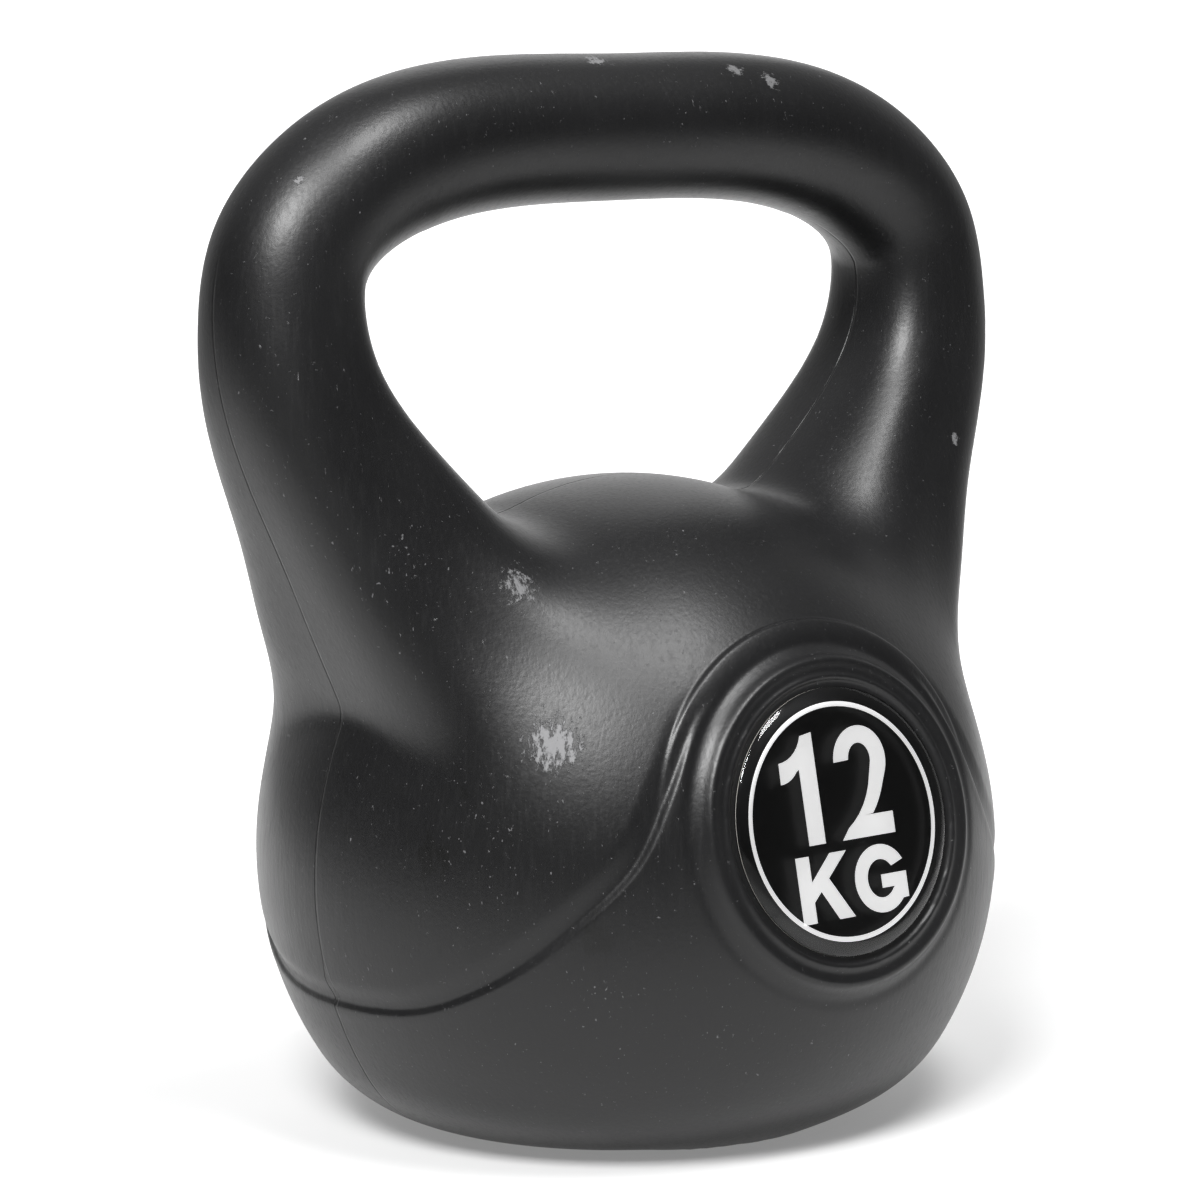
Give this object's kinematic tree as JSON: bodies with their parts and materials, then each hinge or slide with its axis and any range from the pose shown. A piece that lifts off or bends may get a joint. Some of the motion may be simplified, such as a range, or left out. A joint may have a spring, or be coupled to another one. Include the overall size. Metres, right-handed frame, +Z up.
{
  "type": "kettlebell",
  "caption": "Plastic-shelled kettlebell with a round flat-based ball, a wide closed grip loop and round weight labels on the front and back.",
  "frame": {"origin": "centre of the flat base", "axes": "+Z up, +X along the grip, -Y towards the front label"},
  "size_m": [0.249, 0.1978, 0.2827],
  "materials": {
    "shell_plastic": "semi-matte black polyethylene",
    "cement": "cast cement with iron sand",
    "bar_steel": "plain drawn steel bar",
    "plug_plastic": "semi-matte black plastic",
    "label_adhesive": "clear adhesive layer",
    "label_film": "black printed film",
    "label_dome": "clear domed resin"
  },
  "bodies": {
    "root": {"shell": "shell_plastic", "cement_core": "cement", "handle_bar_left": "bar_steel", "handle_bar_right": "bar_steel", "fill_plug": "plug_plastic", "front_label_adhesive": "label_adhesive", "front_label_film": "label_film", "front_label_dome": "label_dome", "back_label_adhesive": "label_adhesive", "back_label_film": "label_film", "back_label_dome": "label_dome"}
  },
  "joints": []
}
